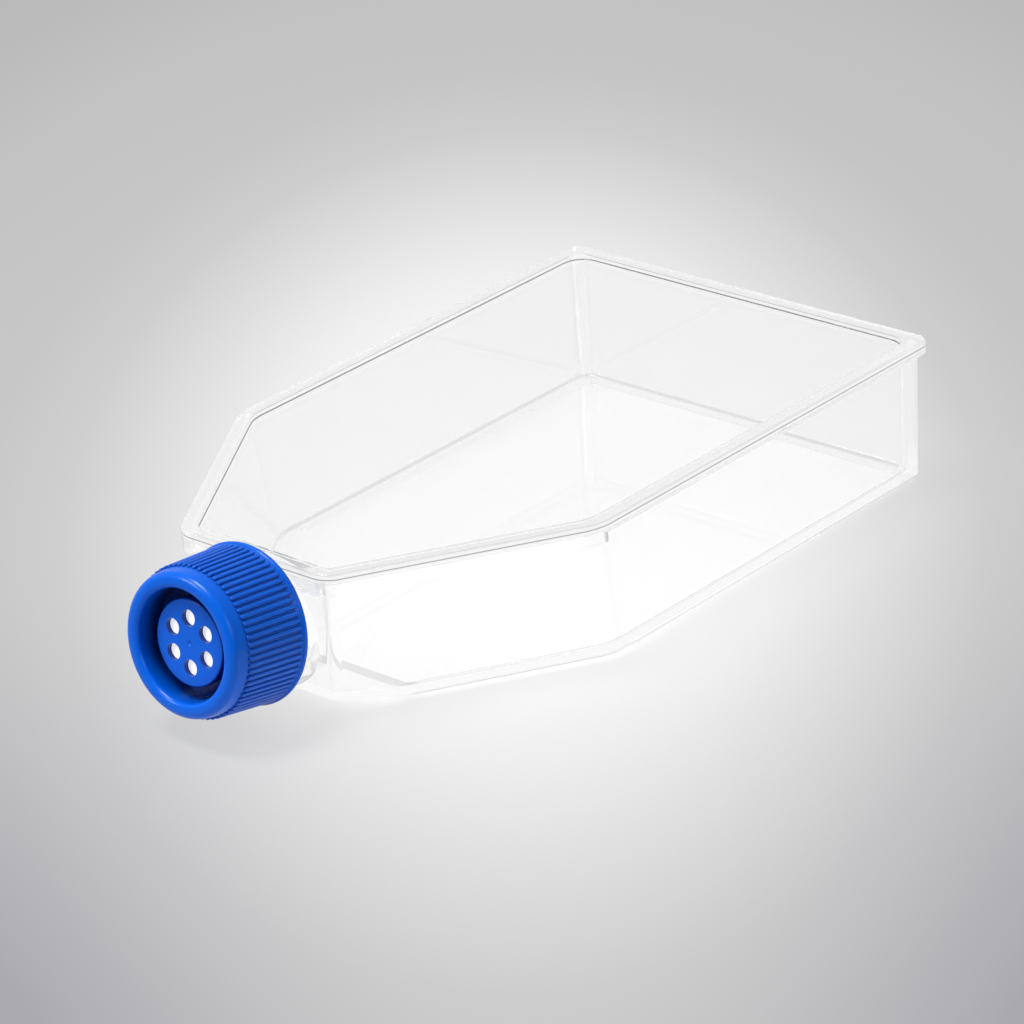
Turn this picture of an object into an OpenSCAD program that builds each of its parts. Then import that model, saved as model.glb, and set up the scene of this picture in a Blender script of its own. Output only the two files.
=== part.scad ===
// Cell culture flask with 175 square centimetres of floor: a clear moulded body with a canted
// neck, a top plate welded over it, and a vented screw cap that carries a breathing membrane.
// Lengths are in millimetres. +Z is up and +Y runs from the cap to the back of the flask.

/* [Body] */
// Width across the long sides, at the joint with the top plate
body_w = 115; // [100:1:140]
// Length from the front face to the back, at the joint with the top plate
body_l = 188.3; // [150:0.1:230]
// Height from the table to the joint with the top plate
body_h = 38.5; // [38:0.5:50]
// Width of the front face
front_w = 45.4; // [44:0.1:56]
// Length of each shoulder, measured along the body
shoulder_l = 57.3; // [46:0.1:70]
// Thickness of the walls
wall_t = 2.2; // [1.6:0.1:2.6]
// Thickness of the floor
floor_t = 2.2; // [1.6:0.1:2.6]
// Radius of the two upright corners at the back, outside
back_corner_r = 1.8; // [1.8:0.1:6]
// Radius of the two upright corners at the back, inside
inner_back_r = 4.5; // [3.5:0.5:8]
// Radius of the two upright corners where the shoulders meet the long sides
side_corner_r = 12; // [5:0.5:20]
// Radius of the two upright corners beside the front face
front_corner_r = 4; // [3:0.5:6]
// Radius of the outer edge round the base
base_edge_r = 0.8; // [0.5:0.1:1.5]
// Radius between the walls and the floor inside
inner_edge_r = 1.6; // [0.8:0.1:3]

/* [Draft] */
// Lean of the long sides, in degrees
side_draft = 1.1; // [0.5:0.1:2]
// Lean of the back, in degrees
back_draft = 0.3; // [0:0.1:2]
// Lean of the shoulders, in degrees
shoulder_draft = 5.6; // [2:0.1:7]
// Lean of the front face, in degrees
front_draft = 3.9; // [2:0.1:8]

/* [Foot] */
// Height of the foot rim that lifts the floor off the table
foot_h = 1.4; // [0.8:0.1:2]
// Width of the foot rim
foot_w = 2.2; // [1.6:0.1:5]
// How far the foot rim stands in from the walls
foot_inset = 1.2; // [0.8:0.1:1.6]
// Distance from the front face to the start of the foot rim
foot_start = 71; // [66:1:90]

/* [Top plate] */
// Thickness of the plate
plate_t = 1.5; // [1.2:0.1:2.5]
// How far the plate's edge stands out from the walls
overhang = 2.2; // [1.6:0.1:3]
// Drop of the plate's edge below the joint, along the sides and back
skirt_side = 1.8; // [1:0.1:3]
// Drop of the plate's edge below the joint, along the shoulders and front
skirt_front = 4.3; // [3:0.1:6]
// Radius of the plate's upper edge
plate_edge_r = 0.5; // [0.3:0.1:1]
// Gap between the plate's edge and the walls
skirt_gap = 0.1; // [0.05:0.05:0.3]

/* [Neck] */
// Upward tilt of the neck, in degrees
neck_tilt = 8.05; // [6:0.05:9]
// Diameter of the neck's bore
neck_bore_d = 30; // [24:0.5:31]
// Thickness of the neck's wall
neck_wall = 1.5; // [1.2:0.1:1.6]
// Length of bare neck between the cap's back rim and the front face
cap_back_gap = 5.1; // [5:0.1:10]
// Radius of the curve by which the neck widens into the front face
flare_r = 20; // [14:1:40]
// Length of the neck's widening, from the front face forward
flare_l = 4.5; // [3:0.5:6]

/* [Screw cap] */
// Length of the cap's skirt, from the neck's mouth to its back rim
skirt_l = 21.4; // [20:0.1:23]
// Height of the cap's front lip above the neck's mouth
lip_h = 2.1; // [1.6:0.1:3]
// Outer rounding of the front lip
lip_outer_r = 2.05; // [1.6:0.05:2.4]
// Inner rounding of the front lip
lip_inner_r = 1.35; // [0.8:0.05:1.6]
// Thickness of the skirt, between the grip ribs
skirt_wall = 1.1; // [0.9:0.1:1.4]
// Room for the threads, between the neck and the skirt
thread_room = 1.1; // [1:0.1:1.4]
// Lean of the skirt, in degrees
skirt_draft = 2.4; // [1:0.1:3]
// Number of grip ribs
rib_count = 70; // [40:2:80]
// Radius of one grip rib
rib_r = 0.65; // [0.5:0.05:0.7]
// Height of the grip ribs
rib_h = 0.5; // [0.3:0.05:0.6]
// Rounding of the band behind the grip ribs
band_r = 0.85; // [0.6:0.05:1]

/* [Plug and vent] */
// Gap between the cap's plug and the neck's bore
plug_gap = 0.1; // [0.05:0.05:0.2]
// Gap between the cap and the neck's mouth
seat_gap = 0.1; // [0.05:0.05:0.2]
// Length of the plug inside the neck
plug_l = 7.4; // [6:0.1:9]
// Thickness of the plug's wall
plug_wall = 0.8; // [0.6:0.1:1.2]
// Width of the gap between the plug and the hub that carries the vent
hub_gap = 3.2; // [2.6:0.1:4]
// Thickness of the hub's wall and of the floor round it
hub_wall = 1.1; // [0.8:0.1:1.3]
// Depth of the vent disc below the neck's mouth
disc_depth = 1.55; // [1:0.05:2.5]
// Thickness of the vent disc
disc_t = 1.4; // [1:0.1:1.8]
// Number of vent holes
vent_count = 6; // [3:1:8]
// Width of the disc left between the vent holes and the hub's wall
vent_margin = 1.5; // [0.8:0.1:2]
// Width of the disc left between two vent holes
vent_web = 2; // [1:0.1:3]
// Thickness of the membrane
membrane_t = 0.3; // [0.2:0.05:0.5]
// Gap between the membrane's edge and the hub
membrane_gap = 0.2; // [0.1:0.05:0.4]

/* [Hidden] */

// Steps of a rounded edge, in degrees, and the facets of round things
edge_step = 22.5;
round_fn = 96;
cap_fn = 72;
detail_fn = 24;
rib_fn = 16;

// How far a cutting tool runs past the face that it cuts
past = 1;

// The outline's sides in turn, anticlockwise from the +X side: the way each faces in degrees,
// its distance from the origin at the joint, its draft, and its next corner's radius outside,
// radius inside and steps. An inside radius is stated as the outside radius of an even wall.
shoulder_a = atan((body_w - front_w) / 2 / shoulder_l);
shoulder_c = cos(shoulder_a) * front_w / 2;
even_back_r = inner_back_r + wall_t;
SIDES = [
    [0, body_w / 2, side_draft, back_corner_r, even_back_r, 8],
    [90, body_l, back_draft, back_corner_r, even_back_r, 8],
    [180, body_w / 2, side_draft, side_corner_r, side_corner_r, 4],
    [180 + shoulder_a, shoulder_c, shoulder_draft, front_corner_r, front_corner_r, 5],
    [270, 0, front_draft, front_corner_r, front_corner_r, 5],
    [360 - shoulder_a, shoulder_c, shoulder_draft, side_corner_r, side_corner_r, 4],
    [360, body_w / 2, side_draft, back_corner_r, even_back_r, 8]
];

// Columns of the corner's radius in that list
OUTSIDE = 3;
INSIDE = 4;

// Heights
floor_z = foot_h + floor_t;
top_z = body_h + plate_t;

// Neck: its top line meets the joint plane at the front face
bore_r = neck_bore_d / 2;
neck_r = bore_r + neck_wall;
neck_z = body_h - neck_r / cos(neck_tilt);
neck_l = skirt_l + cap_back_gap;
mouth = [0, -neck_l * cos(neck_tilt), neck_z + neck_l * sin(neck_tilt)];
bore_reach = 10;
bore_depth = neck_l + bore_reach;
flare_back = 4.5;

// Ramp: it carries the bottom line of the bore on, down to the floor
ramp_top_z = neck_z - bore_r / cos(neck_tilt);
ramp_base_z = ramp_top_z - floor_t / cos(neck_tilt);
ramp_top_y = (ramp_top_z - floor_z) / tan(neck_tilt);
ramp_base_y = (ramp_base_z - foot_h) / tan(neck_tilt);

// Cap: radii from the bore outwards
plug_r = bore_r - plug_gap;
recess_r = plug_r - plug_wall;
hub_r = recess_r - hub_gap;

// Vent holes: they fill their ring of the disc but for the webs between them
vent_ring_r = hub_r - hub_wall - vent_margin;
vent_step = sin(180 / vent_count);
vent_d = (2 * vent_step * vent_ring_r - vent_web) / (1 + vent_step);
vent_pcd = 2 * vent_ring_r - vent_d;
skirt_r = neck_r + thread_room;
grip_r = skirt_r + skirt_wall;
lip_drop = 0.55;
lip_r = grip_r - lip_drop;

// Cap: heights below the neck's mouth
rib_from = 3.8;
band_l = 2.5;
rib_to = skirt_l - band_l;
web_t = hub_wall;
plug_end_r = 0.4;
disc_edge_r = 0.5;
dimple_r = 1.2;
dimple_depth = 0.25;
vent_turn = 34.4;

// The whole flask is centred front to back on its own length
front_y = mouth.y - (lip_h - lip_outer_r) * cos(neck_tilt) - (lip_r - lip_outer_r) * sin(neck_tilt)
    - lip_outer_r;
back_y = body_l + overhang;
middle_y = (front_y + back_y) / 2;

// Points of one rounded corner of the outline, between side i and the next one
function corner(i, drop, inset, column) =
    let (
        a = SIDES[i],
        b = SIDES[i + 1],
        r = a[column] - inset,
        ca = a[1] - drop * tan(a[2]) - inset - r,
        cb = b[1] - drop * tan(b[2]) - inset - r,
        turn = sin(b[0] - a[0]),
        centre = [ca * sin(b[0]) - cb * sin(a[0]), cb * cos(a[0]) - ca * cos(b[0])] / turn
    )
    [for (k = [0 : a[5]])
        let (t = a[0] + (b[0] - a[0]) * k / a[5])
        centre + r * [cos(t), sin(t)]
    ];

// The whole outline, a given drop below the joint and drawn in by an inset
function outline(drop, inset, column) =
    [for (i = [0 : len(SIDES) - 2]) each corner(i, drop, inset, column)];

// One ring of a loft: the drafted outline at height z
function ring(z, inset, column) = [for (p = outline(body_h - z, inset, column)) [p.x, p.y, z]];

// The same ring without draft, for the top plate
function plate_ring(z, inset) = [for (p = outline(0, inset, OUTSIDE)) [p.x, p.y, z]];

// Rings of a rounded lower edge, from its bottom face up
function base_rings(z, inset, column, r) =
    [for (t = [0 : edge_step : 90])
        ring(z + r * (1 - cos(t)), inset + r * (1 - sin(t)), column)];

// A closed solid through a stack of rings that have the same number of points
module loft(rings) {
    n = len(rings[0]);
    last = len(rings) - 1;
    polyhedron(
        points = [for (r = rings) each r],
        faces = concat(
            [[for (i = [0 : n - 1]) i]],
            [[for (i = [n - 1 : -1 : 0]) last * n + i]],
            [for (j = [0 : last - 1])
                for (i = [0 : n - 1])
                    let (
                        low = j * n,
                        high = low + n,
                        next = (i + 1) % n
                    )
                    each [
                        [low + i, high + i, high + next],
                        [low + i, high + next, low + next]
                    ]
            ]
        )
    );
}

// Puts its children in the neck's own frame: the mouth at the origin, +Z out of the flask
module at_mouth() {
    translate(mouth)
        rotate([90 - neck_tilt, 0, 0])
            children();
}

// Puts the finished pieces in the flask's frame
module placed() {
    translate([0, -middle_y, 0])
        children();
}

// A slab across the whole width, from a side view's outline of [y, z] points
module across(points) {
    rotate([90, 0, 90])
        linear_extrude(height = 2 * body_w, center = true)
            polygon(points);
}

// Foot rim along the long sides and the back, still filled; it reaches up into the floor
module foot() {
    difference() {
        linear_extrude(height = foot_h + floor_t / 2)
            polygon(outline(body_h, foot_inset, OUTSIDE));
        translate([-body_w, -past, -past])
            cube([2 * body_w, foot_start + past, foot_h + floor_t + past]);
    }
}

// Everything below the underside: under the ramp in front, and inside the foot rim
module below_underside() {
    far = 2 * neck_l;
    across([
        [-far, -past],
        [ramp_base_y + (foot_h + past) / tan(neck_tilt), -past],
        [-far, ramp_base_z + far * tan(neck_tilt)]
    ]);
    translate([0, 0, -past])
        linear_extrude(height = foot_h + past)
            polygon(outline(body_h, foot_inset + foot_w, INSIDE));
}

// The inside of the body, open at the top
module cavity() {
    far = 2 * neck_l;
    difference() {
        loft(concat(
            base_rings(floor_z, wall_t, INSIDE, inner_edge_r),
            [ring(body_h + past, wall_t, INSIDE)]
        ));
        across([
            [-far, 0],
            [ramp_top_y, 0],
            [ramp_top_y, floor_z],
            [-far, ramp_top_z + far * tan(neck_tilt)]
        ]);
    }
}

// Section of the neck with its rounded lip, as [radius, height from the mouth]
module neck_section() {
    lip = neck_wall / 2;
    depth = neck_l + wall_t;
    translate([bore_r + lip, -lip])
        circle(r = lip, $fn = detail_fn);
    translate([0, -depth])
        square([neck_r, depth - lip]);
}

// Section of the neck's root as it widens towards the front face, which leans the other way
module flare_section() {
    run = flare_l + flare_back;
    growth = flare_r - sqrt(flare_r * flare_r - run * run);
    difference() {
        translate([0, -neck_l - flare_back])
            square([neck_r + growth, run]);
        translate([neck_r + flare_r, flare_l - neck_l])
            circle(r = flare_r, $fn = 4 * detail_fn);
    }
}

module flask_body() {
    color([0.86, 0.92, 0.95, 0.45])
        placed()
            difference() {
                union() {
                    loft(concat(
                        base_rings(foot_h, 0, OUTSIDE, base_edge_r),
                        [ring(body_h, 0, OUTSIDE)]
                    ));
                    foot();
                    at_mouth()
                        rotate_extrude($fn = round_fn)
                            neck_section();
                    // the flare stops below the top plate's edge
                    difference() {
                        at_mouth()
                            rotate_extrude($fn = round_fn)
                                flare_section();
                        translate([-body_w, -overhang - skirt_gap, body_h - skirt_front - skirt_gap])
                            cube([2 * body_w, body_l, body_h]);
                    }
                }
                below_underside();
                cavity();
                at_mouth()
                    translate([0, 0, -bore_depth])
                        cylinder(r = bore_r, h = bore_depth + past, $fn = round_fn);
                // the neck's top line stays level with the joint behind the front face
                translate([-body_w, 0, body_h])
                    cube([2 * body_w, body_l, body_h]);
            }
}

module top_plate() {
    low_z = body_h - skirt_front;
    side_z = body_h - skirt_side;
    color([0.9, 0.94, 0.97, 0.45])
        placed()
            difference() {
                loft(concat(
                    [plate_ring(low_z, -overhang)],
                    [for (t = [0 : edge_step : 90])
                        plate_ring(
                            top_z - plate_edge_r * (1 - sin(t)),
                            -overhang + plate_edge_r * (1 - cos(t))
                        )
                    ]
                ));
                translate([0, 0, low_z - past])
                    linear_extrude(height = skirt_front + past)
                        polygon(outline(0, -skirt_gap, OUTSIDE));
                // the edge is shallower along the long sides and the back
                translate([-body_w, shoulder_l + overhang, low_z - past])
                    cube([2 * body_w, body_l, side_z - low_z + past]);
                // saddle over the neck
                at_mouth()
                    translate([0, 0, -neck_l - overhang])
                        cylinder(r = neck_r + skirt_gap, h = neck_l, $fn = round_fn);
            }
}

// One grip rib: a round bar with a domed front end, half sunk in the skirt
module grip_rib() {
    length = rib_to - rib_from + band_r;
    translate([grip_r + rib_h - rib_r, 0, -rib_from - rib_r])
        rotate([0, -skirt_draft, 0]) {
            sphere(r = rib_r, $fn = rib_fn);
            translate([0, 0, -length])
                cylinder(r = rib_r, h = length, $fn = rib_fn);
        }
}

// Outside of the cap as a filled section, as [radius, height from the neck's mouth]
module cap_outside() {
    lean = (rib_to - rib_from) * tan(skirt_draft);
    band_x = grip_r + rib_h + lean - band_r / 2;
    lip_x = lip_r - lip_outer_r;
    lip_z = lip_h - lip_outer_r;
    polygon([
        [0, -skirt_l],
        [band_x, -skirt_l],
        [band_x + band_r, -skirt_l + band_r],
        [grip_r + lean, -rib_to],
        [grip_r, -rib_from],
        [lip_r, lip_z],
        [lip_x, lip_h],
        [0, lip_h]
    ]);
    translate([band_x, band_r - skirt_l])
        circle(r = band_r, $fn = detail_fn);
    translate([lip_x, lip_z])
        circle(r = lip_outer_r, $fn = 2 * detail_fn);
}

// Space between the plug and the skirt, where the neck goes, and the space below the plug
module neck_space() {
    polygon([
        [0, -plug_l],
        [plug_r - plug_end_r, -plug_l],
        [plug_r, -plug_l + plug_end_r],
        [plug_r, seat_gap],
        [skirt_r, seat_gap],
        [skirt_r + (skirt_l + seat_gap + past) * tan(skirt_draft), -skirt_l - past],
        [0, -skirt_l - past]
    ]);
}

// Space in front of the vent disc, down to the web round the hub
module front_space() {
    rim_x = recess_r + lip_inner_r;
    rim_z = lip_h - lip_inner_r;
    edge_x = hub_r - disc_edge_r;
    edge_z = -disc_depth - disc_edge_r;
    difference() {
        polygon([
            [0, lip_h + past],
            [rim_x, lip_h + past],
            [rim_x, rim_z],
            [recess_r, rim_z],
            [recess_r, web_t - plug_l],
            [hub_r, web_t - plug_l],
            [hub_r, edge_z],
            [edge_x, edge_z],
            [edge_x, -disc_depth],
            [0, -disc_depth]
        ]);
        translate([rim_x, rim_z])
            circle(r = lip_inner_r, $fn = detail_fn);
        translate([edge_x, edge_z])
            circle(r = disc_edge_r, $fn = detail_fn);
    }
}

// Space behind the vent disc, inside the hub
module back_space() {
    translate([0, -plug_l - past])
        square([hub_r - hub_wall, plug_l + past - disc_depth - disc_t]);
}

module screw_cap() {
    color([0.06, 0.32, 0.86])
        placed()
            at_mouth()
                difference() {
                    union() {
                        rotate_extrude($fn = cap_fn)
                            difference() {
                                cap_outside();
                                neck_space();
                                front_space();
                                back_space();
                            }
                        for (i = [0 : rib_count - 1])
                            rotate([0, 0, 360 * (i + 0.5) / rib_count])
                                grip_rib();
                    }
                    for (i = [0 : vent_count - 1])
                        rotate([0, 0, vent_turn + 360 * i / vent_count])
                            translate([vent_pcd / 2, 0, -disc_depth - disc_t - past])
                                cylinder(d = vent_d, h = disc_t + 2 * past, $fn = 2 * detail_fn);
                    // shallow dish left by the moulding gate
                    translate([0, 0, -disc_depth - dimple_depth + dimple_r])
                        sphere(r = dimple_r, $fn = detail_fn);
                }
}

module vent_membrane() {
    color([0.97, 0.97, 0.95])
        placed()
            at_mouth()
                translate([0, 0, -disc_depth - disc_t - membrane_t])
                    cylinder(r = hub_r - hub_wall - membrane_gap, h = membrane_t, $fn = cap_fn);
}

flask_body();
top_plate();
screw_cap();
vent_membrane();
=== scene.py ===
import math

import bmesh
import bpy
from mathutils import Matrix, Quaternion, Vector


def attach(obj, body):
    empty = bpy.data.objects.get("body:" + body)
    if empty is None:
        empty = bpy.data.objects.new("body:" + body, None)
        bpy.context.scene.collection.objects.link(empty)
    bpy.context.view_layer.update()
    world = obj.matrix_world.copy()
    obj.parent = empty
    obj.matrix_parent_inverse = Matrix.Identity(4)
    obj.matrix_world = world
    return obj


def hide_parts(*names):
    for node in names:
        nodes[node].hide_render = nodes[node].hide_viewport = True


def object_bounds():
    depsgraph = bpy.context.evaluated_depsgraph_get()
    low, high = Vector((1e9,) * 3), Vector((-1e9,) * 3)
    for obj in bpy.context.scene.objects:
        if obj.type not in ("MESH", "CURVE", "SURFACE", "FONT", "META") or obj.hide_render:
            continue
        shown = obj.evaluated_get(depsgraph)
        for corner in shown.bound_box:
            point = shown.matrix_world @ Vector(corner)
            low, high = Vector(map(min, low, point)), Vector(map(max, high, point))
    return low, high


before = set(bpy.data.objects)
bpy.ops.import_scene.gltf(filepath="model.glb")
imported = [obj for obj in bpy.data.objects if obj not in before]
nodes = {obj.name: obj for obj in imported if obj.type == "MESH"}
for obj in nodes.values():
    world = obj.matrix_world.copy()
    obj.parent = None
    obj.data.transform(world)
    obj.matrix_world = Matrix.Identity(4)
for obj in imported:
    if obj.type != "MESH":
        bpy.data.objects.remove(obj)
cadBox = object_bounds()

mm = 0.001
samePlace = 1e-6      # points this near count as one, in metres
mergeWithin = 0.002   # points that a cut leaves this near are merged, in millimetres
clear = 1.0           # how far a cutter goes past the face that it opens
beyond = 220.0        # past every side of the flask
steps = {"corner": 12, "edge": 5, "fineEdge": 3, "lip": 6, "flare": 12, "round": 128,
         "ribSides": 12, "ribDome": 3}


# edit mode helpers

def deselectAll():
    if bpy.context.object and bpy.context.object.mode != "OBJECT":
        bpy.ops.object.mode_set(mode="OBJECT")
    bpy.ops.object.select_all(action="DESELECT")


def activate(obj):
    deselectAll()
    obj.select_set(True)
    bpy.context.view_layer.objects.active = obj


def startEdit(obj):
    activate(obj)
    bpy.ops.object.mode_set(mode="EDIT")
    bpy.ops.mesh.select_mode(type="VERT")
    bpy.ops.mesh.select_all(action="DESELECT")


def endEdit():
    bpy.ops.object.mode_set(mode="OBJECT")


def pick(obj, kind, test):
    # selects the verts, edges or faces that pass the test: a vertex is tested by its place,
    # an edge by its two ends, a face by its middle and normal
    bpy.ops.mesh.select_mode(type=kind)
    bpy.ops.mesh.select_all(action="DESELECT")
    bm = bmesh.from_edit_mesh(obj.data)
    if kind == "VERT":
        chosen = [v for v in bm.verts if test(v.co)]
    elif kind == "EDGE":
        chosen = [e for e in bm.edges if test(e.verts[0].co, e.verts[1].co)]
    else:
        chosen = [f for f in bm.faces if test(f.calc_center_median(), f.normal)]
    for item in chosen:
        item.select = True
    bm.select_flush_mode()
    bmesh.update_edit_mesh(obj.data)


def moveBy(offset):
    bpy.ops.transform.translate(value=offset)


def moveVertex(obj, start, target):
    pick(obj, "VERT", lambda co: (co - start).length < samePlace)
    moveBy(target - start)


def roundEdges(offset, segments):
    bpy.ops.mesh.bevel(offset=offset * mm, segments=segments, profile=0.5, affect="EDGES",
                       clamp_overlap=False)


def outwards():
    bpy.ops.mesh.select_all(action="SELECT")
    bpy.ops.mesh.normals_make_consistent(inside=False)


def applyModifier(obj, kind, **settings):
    activate(obj)
    modifier = obj.modifiers.new(kind.lower(), kind)
    for key, value in settings.items():
        setattr(modifier, key, value)
    bpy.ops.object.modifier_apply(modifier=modifier.name)


def combine(obj, other, operation):
    # a boolean with another object, which is used up
    applyModifier(obj, "BOOLEAN", operation=operation, object=other, solver="EXACT")
    bpy.data.objects.remove(other, do_unlink=True)


def tidyMesh(obj):
    # merges the points that a cut leaves almost on each other
    startEdit(obj)
    bpy.ops.mesh.select_all(action="SELECT")
    bpy.ops.mesh.remove_doubles(threshold=mergeWithin * mm)
    bpy.ops.mesh.dissolve_degenerate(threshold=mergeWithin * mm)
    outwards()
    endEdit()


def settle(obj):
    # puts the object's place and turn into its mesh
    activate(obj)
    bpy.ops.object.transform_apply(location=True, rotation=True, scale=True)


def smooth(obj, angle=35):
    activate(obj)
    bpy.ops.object.shade_smooth_by_angle(angle=math.radians(angle), keep_sharp_edges=False)
    applyModifier(obj, "WEIGHTED_NORMAL", keep_sharp=True, weight=80, mode="FACE_AREA")


# sizes that the body, the plate and the threads share, in millimetres and degrees

bodySize = {
    "width": 115.0, "length": 188.3, "joint": 36.9, "front": 45.4, "shoulder": 57.3,
    "wall": 2.2, "floor": 2.2, "backRadius": 1.8, "innerBackRadius": 5.6, "sideRadius": 12.0,
    "frontRadius": 4.0, "baseRadius": 0.8, "innerRadius": 1.6, "sideDraft": 1.1,
    "backDraft": 0.3, "shoulderDraft": 5.6, "frontDraft": 3.9,
}
footSize = {"height": 1.4, "width": 2.2, "inset": 1.6, "start": 71.0, "round": 0.35}
plateSize = {
    "panel": 1.6, "rimHeight": 1.5, "rimWidth": 4.0, "overhang": 2.2, "sideSkirt": 0.2,
    "frontSkirt": 2.7, "edgeRadius": 0.5, "innerEdgeRadius": 0.25, "gap": 0.1,
    "weldDepth": 0.02,
}
neckSize = {
    "tilt": 8.05, "bore": 15.0, "wall": 1.5, "length": 26.5, "flareRadius": 20.0,
    "flareLength": 4.5, "flareBack": 3.5, "flareProud": 0.001, "lipRadius": 0.7,
    "boreEnd": 10.0, "sill": 0.02,
}
# the neck's thread, and the cap's half a pitch out of it
thread = {"pitch": 4.0, "turns": 1.75, "start": 3.2, "crest": 17.2, "width": 2.1,
          "crestWidth": 0.8, "sunk": 0.3, "capCrest": 16.9, "capRoot": 18.1, "steps": 36,
          "runOut": 5, "endHeight": 0.1}

tilt = math.radians(neckSize["tilt"])
neckRadius = neckSize["bore"] + neckSize["wall"]
joint = bodySize["joint"]
shoulderTurn = math.atan((bodySize["width"] - bodySize["front"]) / 2 / bodySize["shoulder"])
shoulderOut = math.cos(shoulderTurn) * bodySize["front"] / 2
panelZ = joint + plateSize["panel"]
# the outline starts at the foot of the front face, and the plate's back edge ends the frame's box
middleY = bodySize["length"] + plateSize["overhang"] - cadBox[1][1] / mm
neckZ = panelZ - neckRadius / math.cos(tilt)
mouth = Vector((0, -neckSize["length"] * math.cos(tilt),
                neckZ + neckSize["length"] * math.sin(tilt)))
floorZ = footSize["height"] + bodySize["floor"]
rampTopZ = neckZ - neckSize["bore"] / math.cos(tilt) - neckSize["sill"]
rampBaseZ = rampTopZ - bodySize["floor"] / math.cos(tilt)
rampTopY = (rampTopZ - floorZ) / math.tan(tilt)
rampBaseY = (rampBaseZ - footSize["height"]) / math.tan(tilt)

# the six sides: the way each faces, its distance out at the joint, its draft, and the radii
# of the corner after it, outside and inside (as that of an even wall)
evenBack = bodySize["innerBackRadius"] + bodySize["wall"]
sides = [
    (0.0, bodySize["width"] / 2, bodySize["sideDraft"], bodySize["backRadius"], evenBack),
    (math.pi / 2, bodySize["length"], bodySize["backDraft"], bodySize["backRadius"], evenBack),
    (math.pi, bodySize["width"] / 2, bodySize["sideDraft"], bodySize["sideRadius"],
     bodySize["sideRadius"]),
    (math.pi + shoulderTurn, shoulderOut, bodySize["shoulderDraft"], bodySize["frontRadius"],
     bodySize["frontRadius"]),
    (math.pi * 1.5, 0.0, bodySize["frontDraft"], bodySize["frontRadius"],
     bodySize["frontRadius"]),
    (math.pi * 2 - shoulderTurn, shoulderOut, bodySize["shoulderDraft"],
     bodySize["sideRadius"], bodySize["sideRadius"]),
]


def cornerPoints(drop, inset):
    # the six corners of the outline, drawn in by an inset at a drop below the joint
    points = []
    for i, (angle, out, draft, _, _) in enumerate(sides):
        nextAngle, nextOut, nextDraft, _, _ = sides[(i + 1) % len(sides)]
        a = out - drop * math.tan(math.radians(draft)) - inset
        b = nextOut - drop * math.tan(math.radians(nextDraft)) - inset
        turn = math.sin(nextAngle - angle)
        points.append(Vector((
            (a * math.sin(nextAngle) - b * math.sin(angle)) / turn,
            (b * math.cos(angle) - a * math.cos(nextAngle)) / turn)))
    return points


def toMetres(x, y, z):
    # from the outline's own origin, at the foot of the front face, to the flask's frame
    return Vector((x * mm, (y - middleY) * mm, z * mm))


def outlineBlock(name, low, high, radiusChange=0.0, inside=False):
    # a block between two levels, each a height, a drop that sets its draft, and an inset;
    # it starts as a rough ring, whose six corners are moved into place
    roughMiddle, roughRadius = 90.0, 60.0
    deselectAll()
    bpy.ops.mesh.primitive_circle_add(vertices=len(sides), radius=roughRadius * mm,
                                      fill_type="NGON",
                                      location=toMetres(0, roughMiddle, low[0]))
    block = bpy.context.object
    block.name = name
    settle(block)
    startEdit(block)
    bpy.ops.mesh.select_all(action="SELECT")
    bpy.ops.mesh.extrude_region_move(
        TRANSFORM_OT_translate={"value": (0, 0, (high[0] - low[0]) * mm)})
    centre = toMetres(0, roughMiddle, 0)

    def bearing(point):
        return math.atan2(point.y - centre.y, point.x - centre.x)

    for height, drop, inset in (low, high):
        targets = sorted((toMetres(p.x, p.y, height) for p in cornerPoints(drop, inset)),
                         key=bearing)
        found = sorted((v.co.copy() for v in bmesh.from_edit_mesh(block.data).verts
                        if abs(v.co.z - height * mm) < samePlace), key=bearing)
        for start, target in zip(found, targets):
            moveVertex(block, start, target)
    outwards()
    # the upright corners are rounded one by one
    lowPoints, highPoints = cornerPoints(low[1], low[2]), cornerPoints(high[1], high[2])
    for i, side in enumerate(sides):
        radius = side[4] if inside else side[3]
        turn = (sides[(i + 1) % len(sides)][0] - side[0]) % (2 * math.pi)
        a = toMetres(lowPoints[i].x, lowPoints[i].y, low[0])
        b = toMetres(highPoints[i].x, highPoints[i].y, high[0])
        pick(block, "EDGE", lambda p, q: min(
            (p - a).length + (q - b).length, (q - a).length + (p - b).length) < 10 * samePlace)
        roundEdges((radius + radiusChange) * math.tan(turn / 2), steps["corner"])
    endEdit()
    return block


def roundLevel(block, height, radius, segments):
    # rounds the edges that lie all round the block at one height
    startEdit(block)
    pick(block, "EDGE", lambda p, q: abs(p.z - height * mm) < samePlace
         and abs(q.z - height * mm) < samePlace)
    roundEdges(radius, segments)
    endEdit()


def sideBlock(name, points):
    # a block across the whole width, from a side view's outline of (y, z) points
    roughRadius, halfWidth = 30.0, 120.0
    deselectAll()
    bpy.ops.mesh.primitive_circle_add(vertices=len(points), radius=roughRadius * mm,
                                      fill_type="NGON", location=(0, 0, 0))
    block = bpy.context.object
    block.name = name
    startEdit(block)
    starts = [v.co.copy() for v in bmesh.from_edit_mesh(block.data).verts]
    for start, (y, z) in zip(starts, points):
        moveVertex(block, start, toMetres(-halfWidth, y, z))
    bpy.ops.mesh.select_all(action="SELECT")
    bpy.ops.mesh.extrude_region_move(
        TRANSFORM_OT_translate={"value": (2 * halfWidth * mm, 0, 0)})
    outwards()
    endEdit()
    return block


def sideBox(name, front, back, bottom, top):
    return sideBlock(name, [(front, bottom), (back, bottom), (back, top), (front, top)])


def atMouth(obj):
    # from the neck's own frame, mouth at the origin and +Z out, to the flask's frame
    obj.rotation_euler = (math.pi / 2 - tilt, 0, 0)
    obj.location = toMetres(*mouth)
    settle(obj)


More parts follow.
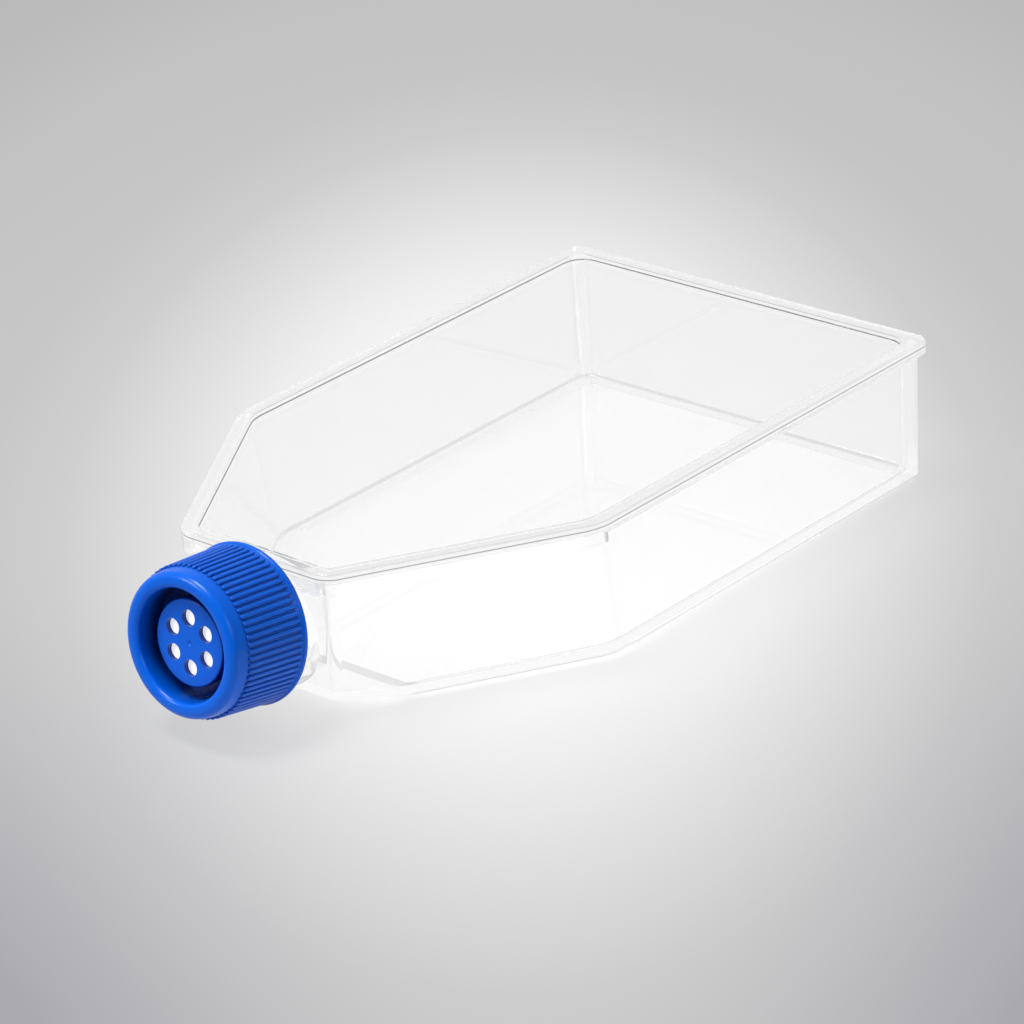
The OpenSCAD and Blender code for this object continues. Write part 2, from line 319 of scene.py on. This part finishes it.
def turnedBar(name, rings, around=steps["round"]):
    # a round bar on Z through rings of (radius, height): a disc, extruded and scaled
    deselectAll()
    bpy.ops.mesh.primitive_circle_add(vertices=around, radius=rings[0][0] * mm,
                                      fill_type="NGON", location=(0, 0, rings[0][1] * mm))
    bar = bpy.context.object
    bar.name = name
    settle(bar)
    startEdit(bar)
    bpy.ops.mesh.select_all(action="SELECT")
    for (radius, height), (nextRadius, nextHeight) in zip(rings, rings[1:]):
        bpy.ops.mesh.extrude_region_move(
            TRANSFORM_OT_translate={"value": (0, 0, (nextHeight - height) * mm)})
        scale = nextRadius / radius
        if abs(scale - 1) > samePlace:
            bpy.ops.transform.resize(value=(scale, scale, 1), center_override=(0, 0, 0))
    outwards()
    endEdit()
    return bar


def arc(centreR, centreZ, radius, start, stop, count):
    # points of an arc in a section, from start to stop in degrees
    angles = [math.radians(start + (stop - start) * i / count) for i in range(count + 1)]
    return [(centreR + radius * math.cos(a), centreZ + radius * math.sin(a)) for a in angles]


def threadRidge(name, root, crest, start):
    # a right-hand thread on Z: a flat section screwed round, with ends that run out
    roughRadius = 3.0
    deselectAll()
    bpy.ops.mesh.primitive_circle_add(vertices=4, radius=roughRadius * mm,
                                      fill_type="NOTHING", location=(0, 0, 0))
    ridge = bpy.context.object
    ridge.name = name
    startEdit(ridge)
    starts = [v.co.copy() for v in bmesh.from_edit_mesh(ridge.data).verts]
    wide, narrow = thread["width"] / 2, thread["crestWidth"] / 2
    section = (root, -wide), (root, wide), (crest, narrow), (crest, -narrow)
    for at, (radius, height) in zip(starts, section):
        moveVertex(ridge, at, Vector((radius * mm, 0, (start + height) * mm)))
    endEdit()
    count = round(thread["steps"] * thread["turns"])
    applyModifier(ridge, "SCREW", angle=2 * math.pi * thread["turns"], steps=count,
                  screw_offset=thread["pitch"] * thread["turns"] * mm, use_smooth_shade=False)
    startEdit(ridge)
    rise, turn = thread["pitch"] / thread["steps"] * mm, 2 * math.pi / thread["steps"]

    def sectionAt(step):
        angle = turn * step
        return Vector((math.cos(angle), math.sin(angle), 0)), start * mm + rise * step

    # the crest sinks into the wall over the last steps of each end
    for i in range(thread["runOut"]):
        risen = thread["endHeight"] + (1 - thread["endHeight"]) * i / thread["runOut"]
        scale = (root + (crest - root) * risen) / crest
        for step in (i, count - i):
            out, height = sectionAt(step)
            near = out * crest * mm + Vector((0, 0, height))
            # the crest's two points and no others
            pick(ridge, "VERT", lambda co: (co - near).length < narrow * 1.25 * mm)
            bpy.ops.transform.resize(value=(scale, scale, 1), center_override=(0, 0, 0))
    # and each end is closed by a face
    for step in (0, count):
        out, height = sectionAt(step)
        away = Vector((-out.y, out.x, 0))
        pick(ridge, "VERT", lambda co: abs(co.dot(away)) < samePlace and co.dot(out) > 0
             and abs(co.z - height) < thread["width"] * mm)
        bpy.ops.mesh.edge_face_add()
    outwards()
    endEdit()
    return ridge


def makeBody():
    foot, wall = footSize["height"], bodySize["wall"]
    body = outlineBlock("clear_body", (foot, joint - foot, 0), (joint, 0, 0))
    roundLevel(body, foot, bodySize["baseRadius"], steps["edge"])

    # foot rim along the long sides and the back, round-edged, with its pocket under the floor
    rimOut, rimIn = footSize["inset"], footSize["inset"] + footSize["width"]
    rimTop = foot + bodySize["floor"] / 2
    rim = outlineBlock("foot_rim", (0, joint, rimOut), (rimTop, joint, rimOut),
                       radiusChange=-rimOut, inside=True)
    combine(rim, outlineBlock("under_floor", (-clear, joint, rimIn), (foot, joint, rimIn),
                              radiusChange=-rimIn, inside=True), "DIFFERENCE")
    roundLevel(rim, 0, footSize["round"], steps["fineEdge"])
    combine(rim, sideBox("rim_front", -beyond, footSize["start"], -beyond, beyond), "DIFFERENCE")
    tidyMesh(rim)
    combine(body, rim, "UNION")

    # the ramp under the neck
    far = 2 * neckSize["length"]
    combine(body, sideBlock("under_ramp", [
        (-far, -clear), (rampBaseY + (foot + clear) / math.tan(tilt), -clear),
        (-far, rampBaseZ + far * math.tan(tilt))]), "DIFFERENCE")
    tidyMesh(body)

    # neck with its flared root, clipped under the plate's edge
    lip = neckSize["lipRadius"]
    neck = turnedBar("neck", [(neckRadius, -neckSize["length"] - wall), (neckRadius, -lip)]
                     + arc(neckRadius - lip, -lip, lip, 0, 90, steps["lip"])[1:])
    atMouth(neck)
    combine(body, neck, "UNION")
    run, flareRadius = neckSize["flareLength"] + neckSize["flareBack"], neckSize["flareRadius"]
    rings = []
    for i in range(steps["flare"] + 1):
        back = run * (1 - i / steps["flare"])
        rings.append((neckRadius + flareRadius - math.sqrt(flareRadius ** 2 - back ** 2)
                      + neckSize["flareProud"],
                      neckSize["flareLength"] - neckSize["length"] - back))
    flare = turnedBar("flare", rings)
    atMouth(flare)
    combine(flare, sideBox("flare_clip", -plateSize["overhang"] - plateSize["gap"], beyond,
                           joint - plateSize["frontSkirt"] - plateSize["gap"], beyond),
            "DIFFERENCE")
    combine(body, flare, "UNION")
    # behind the front face the neck is cut off at the joint, where the plate lies on it
    combine(body, sideBox("level", plateSize["weldDepth"], beyond, joint, beyond), "DIFFERENCE")
    print("outside of the body and the neck made")

    # the inside, which keeps its draft as it goes past the joint
    past = 5 * clear
    cavity = outlineBlock("cavity", (floorZ, joint - floorZ, wall), (joint + past, -past, wall),
                          radiusChange=-wall, inside=True)
    roundLevel(cavity, floorZ, bodySize["innerRadius"], steps["edge"])
    ramp = sideBlock("ramp", [
        (-far, 0), (rampTopY, 0), (rampTopY, floorZ), (-far, rampTopZ + far * math.tan(tilt))])
    combine(cavity, ramp, "DIFFERENCE")
    combine(body, cavity, "DIFFERENCE")
    bore = turnedBar("bore", [(neckSize["bore"], -neckSize["length"] - neckSize["boreEnd"])]
                     + arc(neckSize["bore"] + lip, -lip, lip, 180, 90, steps["lip"])
                     + [(neckSize["bore"] + lip, 2 * clear)])
    atMouth(bore)
    combine(body, bore, "DIFFERENCE")
    ridge = threadRidge("neck_thread", neckRadius - thread["sunk"], thread["crest"],
                        -thread["start"] - thread["turns"] * thread["pitch"])
    atMouth(ridge)
    combine(body, ridge, "UNION")
    print("inside of the body made")
    return body


def makePlate():
    low, top = joint - plateSize["frontSkirt"], panelZ + plateSize["rimHeight"]
    over, gap = plateSize["overhang"], plateSize["gap"]
    plate = outlineBlock("clear_plate", (low, 0, -over), (top, 0, -over), radiusChange=over)
    roundLevel(plate, top, plateSize["edgeRadius"], steps["edge"])
    # the panel lies lower than the rim round it, with a rounded edge at its foot
    dishIn = plateSize["rimWidth"] - over
    dish = outlineBlock("dish", (panelZ, 0, dishIn), (top + clear, 0, dishIn),
                        radiusChange=-dishIn, inside=True)
    roundLevel(dish, panelZ, plateSize["innerEdgeRadius"], steps["fineEdge"])
    combine(plate, dish, "DIFFERENCE")
    # the pocket that the body's walls go into
    pocket = outlineBlock("pocket", (low - clear, 0, -gap),
                          (joint - plateSize["weldDepth"], 0, -gap), radiusChange=gap)
    combine(plate, pocket, "DIFFERENCE")
    # the skirt is shallow along the long sides and the back
    combine(plate, sideBox("side_step", bodySize["shoulder"] + over, beyond, low - clear,
                           joint - plateSize["sideSkirt"]), "DIFFERENCE")
    # saddle over the neck, in front of the body
    saddle = turnedBar("saddle", [(neckRadius + gap, -neckSize["length"] - over),
                                  (neckRadius + gap, 0)])
    atMouth(saddle)
    combine(saddle, sideBox("saddle_end", 0, beyond, -beyond, beyond), "DIFFERENCE")
    combine(plate, saddle, "DIFFERENCE")
    print("top plate made")
    return plate


def makeCapThread():
    # half a pitch behind the neck's
    ridge = threadRidge("cap_thread", thread["capRoot"], thread["capCrest"],
                        -thread["start"] - (thread["turns"] + 0.5) * thread["pitch"])
    atMouth(ridge)
    print("cap's thread made")
    return ridge


# the ends of the grip ribs, which reach forward to the lip, along the cap's own axis
ribEnds = {"count": 70, "ring": 18.55, "radius": 0.63, "front": 2.3, "back": 5.2, "dome": 75.0}


def makeRibEnds():
    radius, front = ribEnds["radius"], ribEnds["front"]
    dome = arc(0, -front - radius, radius, 0, ribEnds["dome"], steps["ribDome"])
    first = turnedBar("rib_end", [(radius, -ribEnds["back"])] + dome, steps["ribSides"])
    ends = []
    for i in range(ribEnds["count"]):
        # the first stands half a step round, as the cap's own ribs do
        angle = 2 * math.pi * (i + 0.5) / ribEnds["count"]
        end = first.copy()
        end.data = first.data.copy()
        bpy.context.scene.collection.objects.link(end)
        end.location = (ribEnds["ring"] * mm * math.cos(angle),
                        ribEnds["ring"] * mm * math.sin(angle), 0)
        ends.append(end)
    bpy.data.objects.remove(first, do_unlink=True)
    deselectAll()
    for end in ends:
        end.select_set(True)
    bpy.context.view_layer.objects.active = ends[0]
    bpy.ops.object.join()
    ring = bpy.context.object
    ring.name = "grip_rib_ends"
    settle(ring)
    atMouth(ring)
    print("ends of the grip ribs made")
    return ring


# shader maths: adds nodes from Python expressions

class Wire:
    def __init__(self, shader, socket):
        self.shader, self.socket = shader, socket

    def maths(self, operation, first, second):
        return self.shader.node("ShaderNodeMath", {"operation": operation}, {0: first, 1: second})

    def __add__(self, other):
        return self.maths("ADD", self, other)

    __radd__ = __add__

    def __mul__(self, other):
        return self.maths("MULTIPLY", self, other)

    __rmul__ = __mul__

    def __sub__(self, other):
        return self.maths("SUBTRACT", self, other)

    def __rsub__(self, other):
        return self.maths("SUBTRACT", other, self)

    def __truediv__(self, other):
        return self.maths("DIVIDE", self, other)

    def __rtruediv__(self, other):
        return self.maths("DIVIDE", other, self)


class Shader:
    # a material's or a world's node tree
    def __init__(self, owner):
        owner.use_nodes = True
        self.nodes, self.links = owner.node_tree.nodes, owner.node_tree.links
        self.nodes.clear()

    def node(self, kind, settings=None, sockets=None, out=0):
        made = self.nodes.new(kind)
        for key, value in (settings or {}).items():
            if key == "stops":
                points = made.color_ramp.elements
                points[0].position, points[1].position = value[0][0], value[-1][0]
                for position, _ in value[1:-1]:
                    points.new(position)
                for point, (_, colour) in zip(points, value):
                    point.color = colour
            else:
                setattr(made, key, value)
        for key, value in (sockets or {}).items():
            if isinstance(value, Wire):
                self.links.new(value.socket, made.inputs[key])
            else:
                made.inputs[key].default_value = value
        return Wire(self, made.outputs[out]) if made.outputs else None


def newMaterial(name):
    material = bpy.data.materials.new(name)
    return material, Shader(material)


def dress(obj, material):
    obj.data.materials.clear()
    obj.data.materials.append(material)


def grey(tone):
    return tone, tone, tone, 1.0


def objectPlace(s):
    return s.node("ShaderNodeTexCoord", out="Object")


def rayIs(s, kind):
    return s.node("ShaderNodeLightPath", out="Is " + kind + " Ray")


def coordinate(s, vector, axis):
    return s.node("ShaderNodeSeparateXYZ", None, {0: vector}, out=axis)


def mixColours(s, factor, first, second, blend="MIX"):
    return s.node("ShaderNodeMix", {"data_type": "RGBA", "blend_type": blend},
                  {"Factor": factor, 6: first, 7: second}, out=2)


def mixShaders(s, factor, first, second):
    return s.node("ShaderNodeMixShader", None, {0: factor, 1: first, 2: second})


def fineBumps(s, look):
    grain = s.node("ShaderNodeTexNoise", None, {
        "Vector": objectPlace(s), "Scale": look["grain"], "Detail": look["grainDetail"]})
    return s.node("ShaderNodeBump", None, {
        "Strength": look["bump"], "Distance": look["bumpHeight"], "Height": grain})


# the volume's density and the tone of the painted glow that it gives, in place of light spread
# inside the plastic; shadow is what passes
clearLook = {"ior": 1.59, "roughness": 0.01, "tint": grey(1.0), "shadow": 0.985,
             "glowFog": 78.0, "glowFogTone": 0.965}
# painted shade: bands of height in which the clear plastic is darkened so that an edge draws a
# fine line, as heights from and to in millimetres, and how much they let through
paintedEdgeShade = {"plate": (panelZ + 0.01, panelZ + 0.27, 0.15),
            "body": (footSize["height"] + 0.02, footSize["height"] + 0.6, 0.4)}


def clearPlastic(name, edgeShade):
    material, s = newMaterial(name)
    low, high, tone = edgeShade
    height = coordinate(s, objectPlace(s), "Z")
    above = s.node("ShaderNodeMath", {"operation": "GREATER_THAN"}, {0: height, 1: low * mm})
    below = s.node("ShaderNodeMath", {"operation": "LESS_THAN"}, {0: height, 1: high * mm})
    # painted shade: the base colour darkens inside the band, drawing the edge's dark line
    plastic = s.node("ShaderNodeBsdfPrincipled", None, {
        "Base Color": mixColours(s, above * below, clearLook["tint"], grey(tone)),
        "Roughness": clearLook["roughness"], "IOR": clearLook["ior"],
        "Transmission Weight": 1.0})
    # light goes straight through for a shadow
    through = s.node("ShaderNodeBsdfTransparent", None, {"Color": grey(clearLook["shadow"])})
    # painted glow: a volume inside the plastic absorbs and glows evenly, so light that runs along
    # inside a wall reads pale grey
    glowFog = s.node("ShaderNodeAddShader", None, {
        0: s.node("ShaderNodeVolumeAbsorption", None, {
            "Color": grey(0.0), "Density": clearLook["glowFog"]}),
        1: s.node("ShaderNodeEmission", None, {
            "Strength": clearLook["glowFog"] * clearLook["glowFogTone"]})})
    s.node("ShaderNodeOutputMaterial", None, {
        "Surface": mixShaders(s, rayIs(s, "Shadow"), plastic, through), "Volume": glowFog})
    return material


# shade is the deep blue of the painted shade, and shadeReach and shadeSamples set how far and how
# finely it looks
capLook = {"blue": (0.0002, 0.145, 0.86, 1.0), "shade": (0.0002, 0.02, 0.17, 1.0),
           "shadeReach": 0.006, "shadeSamples": 4, "roughness": 0.24, "gloss": 0.25,
           "grain": 2600.0, "grainDetail": 2.0, "bump": 0.12, "bumpHeight": 0.0002}


def capPlastic():
    material, s = newMaterial("satin_blue")
    # painted shade: the blue darkens to a deep blue in the recess and between the ribs, by how
    # enclosed each spot is
    openness = s.node("ShaderNodeAmbientOcclusion", {"samples": capLook["shadeSamples"]}, {
        "Distance": capLook["shadeReach"]}, out="AO")
    plastic = s.node("ShaderNodeBsdfPrincipled", None, {
        "Base Color": mixColours(s, openness * openness, capLook["shade"], capLook["blue"]),
        "Roughness": capLook["roughness"], "Specular IOR Level": capLook["gloss"],
        "Normal": fineBumps(s, capLook)})
    s.node("ShaderNodeOutputMaterial", None, {"Surface": plastic})
    return material


# the film glows a little, so that it reads as white behind the holes
membraneLook = {"white": (0.93, 0.93, 0.92, 1.0), "roughness": 0.85, "glow": 0.6,
                "grain": 5200.0, "grainDetail": 4.0, "bump": 0.35, "bumpHeight": 0.0001}


def membraneFabric():
    material, s = newMaterial("porous_white")
    film = s.node("ShaderNodeBsdfPrincipled", None, {
        "Base Color": membraneLook["white"], "Roughness": membraneLook["roughness"],
        "Emission Color": grey(1.0), "Emission Strength": membraneLook["glow"],
        "Normal": fineBumps(s, membraneLook)})
    s.node("ShaderNodeOutputMaterial", None, {"Surface": film})
    return material


view = {"place": (0.75593, -0.82425, 0.53998), "target": (0.0355, -0.02755, 0.0385),
        "roll": -3.66, "lens": 172.7, "sensor": 36.0, "clip": (0.05, 60.0)}


def turnTowards(place, target):
    return (Vector(target) - Vector(place)).to_track_quat("-Z", "Y")


def addCamera():
    data = bpy.data.cameras.new("camera")
    data.lens, data.sensor_width = view["lens"], view["sensor"]
    data.clip_start, data.clip_end = view["clip"]
    camera = bpy.data.objects.new("camera", data)
    bpy.context.scene.collection.objects.link(camera)
    camera.location = view["place"]
    camera.rotation_mode = "QUATERNION"
    camera.rotation_quaternion = turnTowards(view["place"], view["target"]) @ Quaternion(
        (0, 0, 1), math.radians(view["roll"]))
    bpy.context.scene.camera = camera


# the painted pool of light on the floor: its place, size and turn in metres and degrees; the tones
# are by distance from its middle, counted in pool sizes
floorLook = {
    "radius": 14.0, "sides": 96,
    "middle": (-0.03, 0.049, 0), "across": 0.12, "along": 0.264, "turn": 41.4,
    "tones": [(0.0, 0.97), (0.4, 0.94), (0.6, 0.85), (0.8, 0.73), (1.0, 0.62), (1.2, 0.57),
              (1.6, 0.55), (2.0, 0.50), (3.0, 0.46), (5.0, 0.44)],
    "cornerTint": (0.66, 0.655, 0.73, 1.0), "cornerMost": 0.85, "nearTint": 0.05,
    "throughTint": grey(0.905), "throughGlow": 0.85, "paint": 0.15,
}


def floorPaint():
    material, s = newMaterial("pale_floor")
    # painted pool of light: the floor is brightest under the flask, in a patch that is longer
    # along the camera's view
    onLightPool = s.node("ShaderNodeMapping", {"vector_type": "TEXTURE"}, {
        "Vector": objectPlace(s), "Location": floorLook["middle"],
        "Scale": (floorLook["across"], floorLook["along"], 1.0),
        "Rotation": (0, 0, math.radians(floorLook["turn"]))})
    distance = s.node("ShaderNodeVectorMath", {"operation": "LENGTH"}, {0: onLightPool}, out="Value")
    last = floorLook["tones"][-1][0]
    stops = [(reach / last, grey(tone)) for reach, tone in floorLook["tones"]]
    white = s.node("ShaderNodeValToRGB", {"stops": stops}, {"Fac": distance / last})
    # painted shade: the floor's near corners are darker and cooler
    across, along = coordinate(s, onLightPool, "X"), coordinate(s, onLightPool, "Y")
    near = s.node("ShaderNodeMath", {"operation": "MAXIMUM"}, {0: 0 - along, 1: 0.0})
    corner = s.node("ShaderNodeMath", {"operation": "MINIMUM"}, {
        0: (across * across + near * near * floorLook["nearTint"]) * near * near,
        1: floorLook["cornerMost"]})
    white = mixColours(s, corner, white, floorLook["cornerTint"], "MULTIPLY")
    # painted light: the clear plastic shows a whiter floor than the bare one round it
    through = rayIs(s, "Transmission")
    glow = s.node("ShaderNodeEmission", None, {"Strength": 1.0, "Color": mixColours(
        s, through * floorLook["throughGlow"], white, floorLook["throughTint"])})
    seen = s.node("ShaderNodeMath", {"operation": "MINIMUM"}, {
        0: rayIs(s, "Camera") + rayIs(s, "Glossy") + through, 1: 1.0})
    paint = s.node("ShaderNodeBsdfDiffuse", None, {"Color": white})
    s.node("ShaderNodeOutputMaterial", None, {
        "Surface": mixShaders(s, seen * (1 - floorLook["paint"]), paint, glow)})
    return material


def makeFloor():
    deselectAll()
    bpy.ops.mesh.primitive_circle_add(vertices=floorLook["sides"], radius=floorLook["radius"],
                                      fill_type="NGON", location=(0, 0, 0))
    floor = bpy.context.object
    floor.name = "floor"
    settle(floor)
    dress(floor, floorPaint())


# each lamp's place, what it points at, its width and its power
lamps = {"key": ((-0.35, -0.45, 1.5), (0, 0, 0.02), 0.55, 17.0),
         "front": ((-0.85, -1.2, 1.0), (0, -0.1, 0.02), 0.4, 8.0),
         "fill": ((1.3, -0.5, 0.9), (0, 0, 0.02), 0.7, 3.0)}


def addLamp(name, place, target, width, power):
    data = bpy.data.lights.new(name, "AREA")
    data.shape = "DISK"
    data.size, data.energy = width, power
    lamp = bpy.data.objects.new(name, data)
    bpy.context.scene.collection.objects.link(lamp)
    lamp.location = place
    lamp.rotation_euler = turnTowards(place, target).to_euler()


# strengths of the sky as it lights, as it is mirrored and as it is seen through the plastic
skyLook = {"lighting": 0.18, "mirrorDim": 0.05, "mirrorBright": 0.62,
           "brightSide": (-0.68, 0.70, 0.2), "through": 0.95, "overhead": 0.05,
           "overheadFrom": 0.55, "overheadTo": 0.75}


def makeSky():
    world = bpy.data.worlds.new("studio")
    bpy.context.scene.world = world
    s = Shader(world)
    direction = s.node("ShaderNodeTexCoord", out="Generated")

    def sky(strength):
        return s.node("ShaderNodeBackground", None, {
            "Color": grey(1.0), "Strength": skyLook[strength]})

    def towards(axis):
        return s.node("ShaderNodeVectorMath", {"operation": "DOT_PRODUCT"}, {
            0: direction, 1: axis}, out="Value")

    # in reflections the sky is bright beyond the flask and dim on the viewer's side: how nearly
    # a direction faces the bright side, from -1 to 1, becomes a factor from 0 to 1
    mirrored = mixShaders(s, towards(skyLook["brightSide"]) * 0.5 + 0.5,
                          sky("mirrorDim"), sky("mirrorBright"))
    # light bent through an edge comes from high up, where it's dark, and draws the edge as a line
    overhead = s.node("ShaderNodeMapRange", None, {
        "Value": towards((0, 0, 1)), "From Min": skyLook["overheadFrom"],
        "From Max": skyLook["overheadTo"]})
    through = mixShaders(s, overhead, sky("through"), sky("overhead"))
    seen = mixShaders(s, rayIs(s, "Transmission"), mirrored, through)
    s.node("ShaderNodeOutputWorld", None, {
        "Surface": mixShaders(s, rayIs(s, "Diffuse"), seen, sky("lighting"))})


addCamera()
makeFloor()
for name, settings in lamps.items():
    addLamp(name, *settings)
makeSky()
bpy.context.scene.view_settings.view_transform = "Standard"
print("camera, floor, lamps and sky set")

body = makeBody()
plate = makePlate()
for piece, cadName, slotName, edgeShade in (
        (body, "flask_body", "clear_body", paintedEdgeShade["body"]),
        (plate, "top_plate", "clear_plate", paintedEdgeShade["plate"])):
    smooth(piece)
    dress(piece, clearPlastic(slotName + "_styrene", edgeShade))
    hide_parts(cadName)
    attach(piece, "flask")

blue = capPlastic()
dress(nodes["screw_cap"], blue)
for piece in (makeCapThread(), makeRibEnds()):
    smooth(piece, 50)
    dress(piece, blue)
    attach(piece, "cap")
dress(nodes["vent_membrane"], membraneFabric())
